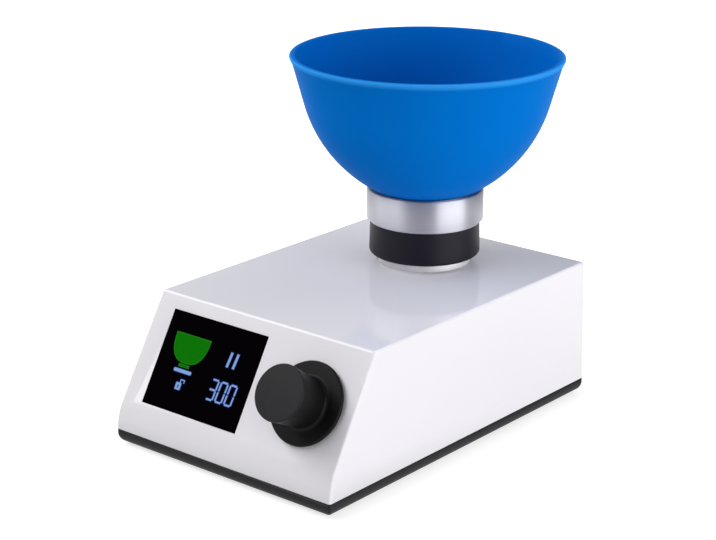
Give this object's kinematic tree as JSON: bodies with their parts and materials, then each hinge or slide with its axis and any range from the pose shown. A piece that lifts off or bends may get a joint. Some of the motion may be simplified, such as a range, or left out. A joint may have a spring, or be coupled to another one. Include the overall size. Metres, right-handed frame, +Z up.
{
  "type": "dental impression material mixer",
  "caption": "Bench mixer for dental impression paste: wedge-fronted drive unit with a display and a push-and-turn knob, and a blue bowl turned from below by a metal holder.",
  "frame": {"origin": "on the bench, below the middle of the whole machine's box, knob and bowl included", "axes": "+Z up, -Y the front with the display and knob, +X the knob's side"},
  "size_m": [0.13, 0.2211, 0.1683],
  "materials": {
    "cover_paint": "gloss light grey paint",
    "base_black": "satin black",
    "foot_rubber": "matt",
    "steel": "satin",
    "spun_aluminium": "fine turned finish",
    "plain_aluminium": "milled",
    "window_black": "deep gloss black",
    "gasket_foam": "matt",
    "module_body": "satin",
    "board_green": "solder mask",
    "encoder_black": "satin",
    "knob_black": "satin, turned face",
    "bearing_steel": "ground",
    "seal_rubber": "matt",
    "hub_black": "satin black",
    "bowl_blue": "smooth satin blue",
    "belt_rubber": "matt",
    "motor_steel": "black",
    "bronze": "sintered bronze",
    "copper": "enamelled wire",
    "panel_black": "powder coat",
    "fitting_black": "satin",
    "tinned_brass": "nickel plated",
    "capacitor_sleeve": "sleeve",
    "terminal_green": "satin",
    "lead_red": "wire insulation"
  },
  "bodies": {
    "casing": {"top_cover": "cover_paint", "base_tray": "base_black", "rubber_feet": "foot_rubber", "foot_screws": "steel", "cover_screws": "steel", "display_window": "window_black", "display_gasket": "gasket_foam", "display_module": "module_body", "control_board": "board_green", "control_board_screws": "steel", "encoder_body": "encoder_black", "encoder_nut": "steel", "drive_plate": "plain_aluminium", "plate_standoffs": "steel", "plate_screws": "steel", "lower_housing": "plain_aluminium", "bearing_bridge": "plain_aluminium", "bridge_screws": "steel", "bearing_outer_rings": "bearing_steel", "bearing_shields": "steel", "spindle_seal": "seal_rubber", "housing_clip": "steel", "motor_can": "motor_steel", "motor_bell": "motor_steel", "motor_bushes": "bronze", "motor_stator": "copper", "drive_belt": "belt_rubber", "rear_panel": "panel_black", "rear_screws": "steel", "power_inlet": "fitting_black", "inlet_pins": "tinned_brass", "power_switch": "fitting_black", "power_board": "board_green", "motor_board": "board_green", "board_screws": "steel", "transformer": "copper", "capacitors": "capacitor_sleeve", "heatsink": "plain_aluminium", "terminal_blocks": "terminal_green", "inner_leads": "lead_red"},
    "spindle": {"spindle_shaft": "steel", "shaft_keys": "steel", "shaft_clip": "steel", "bearing_inner_rings": "bearing_steel", "spindle_pulley": "plain_aluminium", "drive_hub": "hub_black", "hub_screw": "steel", "bowl_holder": "spun_aluminium", "holder_screws": "steel", "grip_ring": "seal_rubber"},
    "bowl": {"mixing_bowl": "bowl_blue"},
    "rotor": {"motor_shaft": "steel", "motor_rotor": "steel", "motor_pulley": "plain_aluminium", "pulley_set_screw": "steel"},
    "balls": {"bearing_balls": "bearing_steel"},
    "plunger": {"encoder_plunger": "encoder_black"},
    "knob": {"knob": "knob_black", "encoder_shaft": "steel"},
    "rocker": {"switch_rocker": "fitting_black"}
  },
  "joints": [
    {"name": "spindle_spin", "type": "hinge", "parent": "casing", "child": "spindle", "pos_m": [0, 0.04574, 0.05], "axis": [0, 0, 1], "continuous": true},
    {"name": "bowl_lift", "type": "slide", "parent": "spindle", "child": "bowl", "axis": [0, 0, 1], "range_m": [0, 0.03]},
    {"name": "rotor_spin", "type": "hinge", "parent": "casing", "child": "rotor", "pos_m": [0, -0.01646, 0.03], "axis": [0, 0, 1], "continuous": true},
    {"name": "ball_roll", "type": "hinge", "parent": "casing", "child": "balls", "pos_m": [0, 0.04574, 0.05], "axis": [0, 0, 1], "continuous": true},
    {"name": "knob_press", "type": "slide", "parent": "casing", "child": "plunger", "axis": [0, 0.8607, -0.509], "range_m": [0, 0.0005], "stiffness_N_per_m": 3000, "springref_m": -0.0002},
    {"name": "knob_turn", "type": "hinge", "parent": "plunger", "child": "knob", "pos_m": [0.039, -0.08472, 0.04188], "axis": [0, -0.8607, 0.509], "continuous": true},
    {"name": "switch_rock", "type": "hinge", "parent": "casing", "child": "rocker", "pos_m": [0.04, 0.08748, 0.03074], "axis": [1, 0, 0], "range_deg": [0, 20]}
  ],
  "couplings": [
    {"joint": "rotor_spin", "follows": "spindle_spin", "ratio": 4},
    {"joint": "ball_roll", "follows": "spindle_spin", "ratio": 0.3692}
  ]
}
